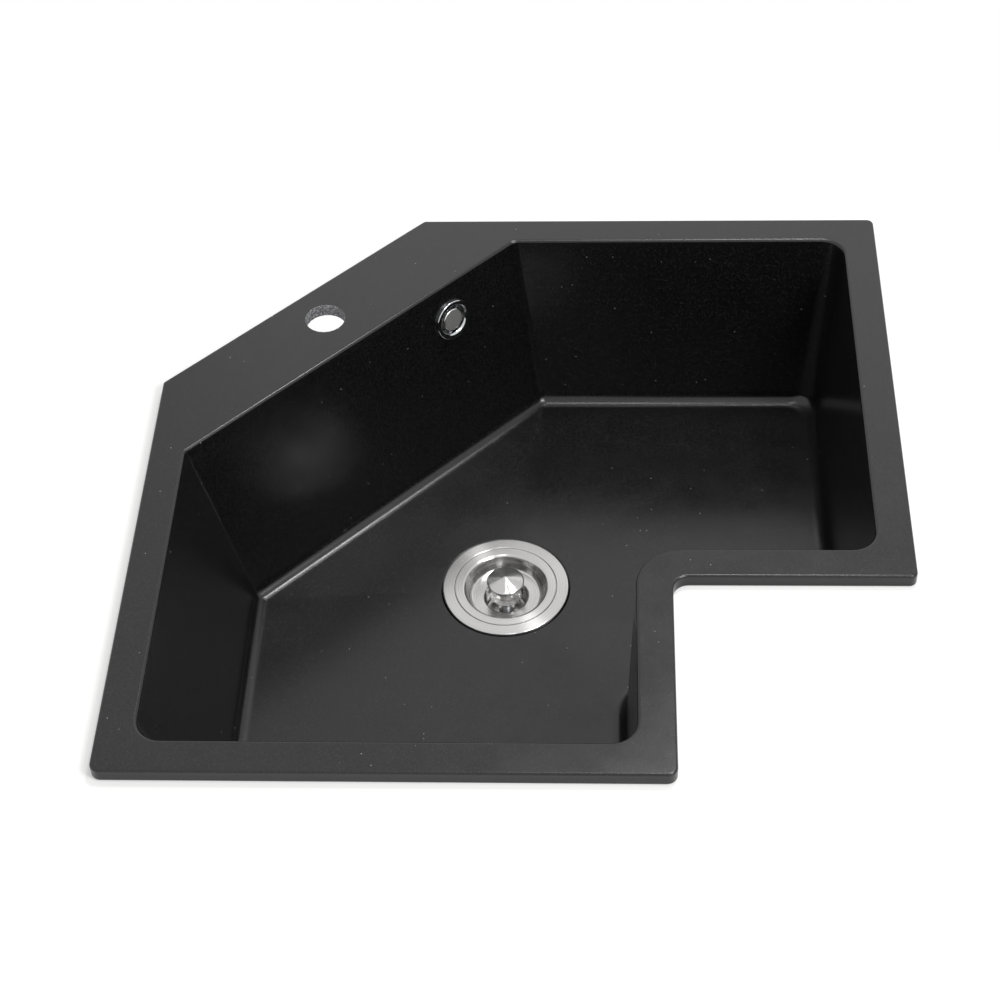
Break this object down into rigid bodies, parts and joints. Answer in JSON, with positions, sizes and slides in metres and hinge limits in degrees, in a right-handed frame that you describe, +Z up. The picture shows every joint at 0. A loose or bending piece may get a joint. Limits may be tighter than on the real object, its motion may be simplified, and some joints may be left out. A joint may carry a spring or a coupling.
{
  "type": "corner kitchen sink",
  "caption": "Black composite inset sink for a kitchen corner, with a cut-off tap deck, a notched front corner, a basket strainer waste and an overflow.",
  "frame": {"origin": "axis of the tap hole at the level of the worktop, which is the underside of the rim", "axes": "+Z up, +X to the right along the front edge, +Y to the back, away from the front edge"},
  "size_m": [0.62, 0.62, 0.359],
  "materials": {
    "composite": "matt black quartz composite with a fine speckle",
    "turned_steel": "stainless steel turned on a lathe",
    "cap_steel": "satin stainless steel",
    "screw_steel": "plain stainless steel",
    "trim_chrome": "bright chrome",
    "nut_brass": "plain brass",
    "gasket_rubber": "moulded black rubber",
    "washer_card": "pressed fibre",
    "white_plastic": "moulded white polypropylene",
    "hose_plastic": "soft white ribbed plastic"
  },
  "bodies": {
    "sink": {"sink_bowl": "composite", "flange_gasket": "gasket_rubber", "strainer_body": "turned_steel", "underside_gasket": "gasket_rubber", "friction_washer": "washer_card", "lock_nut": "white_plastic", "coupling_washer": "gasket_rubber", "coupling_nut": "white_plastic", "waste_tee": "white_plastic", "overflow_ring": "trim_chrome", "overflow_cap": "cap_steel", "overflow_screw": "screw_steel", "overflow_gasket": "gasket_rubber", "overflow_elbow": "white_plastic", "overflow_hose": "hose_plastic", "hose_nuts": "white_plastic", "hose_washers": "gasket_rubber"},
    "basket": {"strainer_basket": "turned_steel", "detent_ring": "screw_steel"},
    "plug": {"plug_knob": "turned_steel", "plug_stem": "screw_steel", "plug_washer": "screw_steel", "plug_seal": "gasket_rubber", "plug_nut": "nut_brass"}
  },
  "joints": [
    {"name": "basket_lift", "type": "slide", "parent": "sink", "child": "basket", "axis": [0, 0, 1], "range_m": [0, 0.27]},
    {"name": "plug_lift", "type": "slide", "parent": "basket", "child": "plug", "axis": [0, 0, 1], "range_m": [0, 0.008]}
  ]
}
